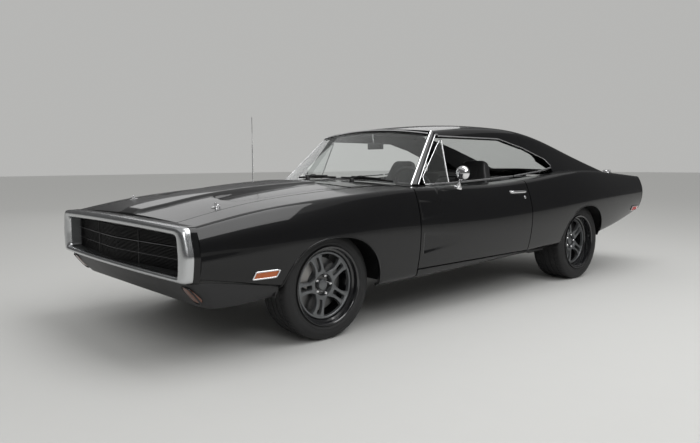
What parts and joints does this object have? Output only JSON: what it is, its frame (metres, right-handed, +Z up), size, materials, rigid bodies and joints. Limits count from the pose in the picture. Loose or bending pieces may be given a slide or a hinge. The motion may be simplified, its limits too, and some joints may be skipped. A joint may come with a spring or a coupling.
{
  "type": "muscle car",
  "caption": "Two-door fastback muscle car with a recessed grille in a loop bumper, sail panels beside the rear window and split-spoke wheels; opening doors, hood and trunk lid.",
  "frame": {"origin": "on the ground below the middle of the car's box", "axes": "+Z up, -Y towards the nose, +X towards the driver's side"},
  "size_m": [1.966, 5.296, 1.4609],
  "materials": {
    "body_paint": "gloss black paint",
    "bumper_satin": "satin silver paint",
    "bright_chrome": "polished chrome",
    "window_glass": "faint green tint",
    "tyre": "black rubber",
    "wheel_alloy": "satin grey spokes in a black barrel",
    "amber_lens": "amber lens",
    "red_lens": "red lens",
    "black_plastic": "satin black",
    "cabin_trim": "grained black",
    "seat_vinyl": "black pleated vinyl",
    "cast_iron": "dark casting",
    "bare_steel": "dull steel"
  },
  "bodies": {
    "body": {"antenna": "bright_chrome", "bumper_loop": "bumper_satin", "cowl_panel": "body_paint", "dashboard": "cabin_trim", "driveshaft": "bare_steel", "engine_block": "cast_iron", "exhaust": "bare_steel", "fender_left": "body_paint", "fender_right": "body_paint", "floor_pan": "body_paint", "front_crossmember": "cast_iron", "front_seats": "seat_vinyl", "front_valance": "black_plastic", "fuel_cap": "bright_chrome", "fuel_tank": "bare_steel", "grille": "black_plastic", "lamps_amber": "amber_lens", "lamps_red": "red_lens", "quarter_left": "body_paint", "quarter_right": "body_paint", "rear_axle": "cast_iron", "rear_bulkhead": "cabin_trim", "rear_bumper": "bright_chrome", "rear_seat": "seat_vinyl", "rear_window": "window_glass", "roof_panel": "body_paint", "tail_panel": "body_paint", "wheelhouses": "black_plastic", "windscreen": "window_glass"},
    "hood": {"hood": "body_paint"},
    "trunk_lid": {"trunk_lid": "body_paint"},
    "steering_wheel": {"steering_wheel": "cabin_trim"},
    "door_left": {"door_left": "body_paint", "vent_window_left": "window_glass", "door_fittings_left": "bright_chrome"},
    "door_right": {"door_right": "body_paint", "vent_window_right": "window_glass", "door_fittings_right": "bright_chrome"},
    "knuckle_left": {"knuckle_left": "cast_iron"},
    "knuckle_right": {"knuckle_right": "cast_iron"},
    "wheel_front_left": {"wheel_front_left": "wheel_alloy", "tyre_front_left": "tyre"},
    "wheel_front_right": {"wheel_front_right": "wheel_alloy", "tyre_front_right": "tyre"},
    "wheel_rear_left": {"wheel_rear_left": "wheel_alloy", "tyre_rear_left": "tyre"},
    "wheel_rear_right": {"wheel_rear_right": "wheel_alloy", "tyre_rear_right": "tyre"}
  },
  "joints": [
    {"name": "hood_hinge", "type": "hinge", "parent": "body", "child": "hood", "pos_m": [0, -1.41, 0.855], "axis": [-1, 0, 0], "range_deg": [0, 50]},
    {"name": "trunk_hinge", "type": "hinge", "parent": "body", "child": "trunk_lid", "pos_m": [0, 1.59, 0.946], "axis": [1, 0, 0], "range_deg": [0, 60]},
    {"name": "door_left_hinge", "type": "hinge", "parent": "body", "child": "door_left", "pos_m": [0.921, -0.88, 0.615], "axis": [0, 0, -1], "range_deg": [0, 60]},
    {"name": "door_right_hinge", "type": "hinge", "parent": "body", "child": "door_right", "pos_m": [-0.921, -0.88, 0.615], "axis": [0, 0, 1], "range_deg": [0, 60]},
    {"name": "steer_left", "type": "hinge", "parent": "body", "child": "knuckle_left", "pos_m": [0.7, -1.663, 0.33], "axis": [0, 0, 1], "range_deg": [-30, 30]},
    {"name": "steer_right", "type": "hinge", "parent": "body", "child": "knuckle_right", "pos_m": [-0.7, -1.663, 0.33], "axis": [0, 0, 1], "range_deg": [-30, 30]},
    {"name": "steering_wheel_turn", "type": "hinge", "parent": "body", "child": "steering_wheel", "pos_m": [0.405, -0.395, 0.86], "axis": [0, 0.9063, 0.4226], "range_deg": [-541, 541]},
    {"name": "wheel_front_left_roll", "type": "hinge", "parent": "knuckle_left", "child": "wheel_front_left", "pos_m": [0.758, -1.663, 0.33], "axis": [1, 0, 0], "continuous": true},
    {"name": "wheel_rear_left_roll", "type": "hinge", "parent": "body", "child": "wheel_rear_left", "pos_m": [0.752, 1.309, 0.34], "axis": [1, 0, 0], "continuous": true},
    {"name": "wheel_front_right_roll", "type": "hinge", "parent": "knuckle_right", "child": "wheel_front_right", "pos_m": [-0.758, -1.663, 0.33], "axis": [1, 0, 0], "continuous": true},
    {"name": "wheel_rear_right_roll", "type": "hinge", "parent": "body", "child": "wheel_rear_right", "pos_m": [-0.752, 1.309, 0.34], "axis": [1, 0, 0], "continuous": true}
  ],
  "couplings": [
    {"joint": "steer_right", "follows": "steer_left", "ratio": 1},
    {"joint": "steering_wheel_turn", "follows": "steer_left", "ratio": 18}
  ]
}
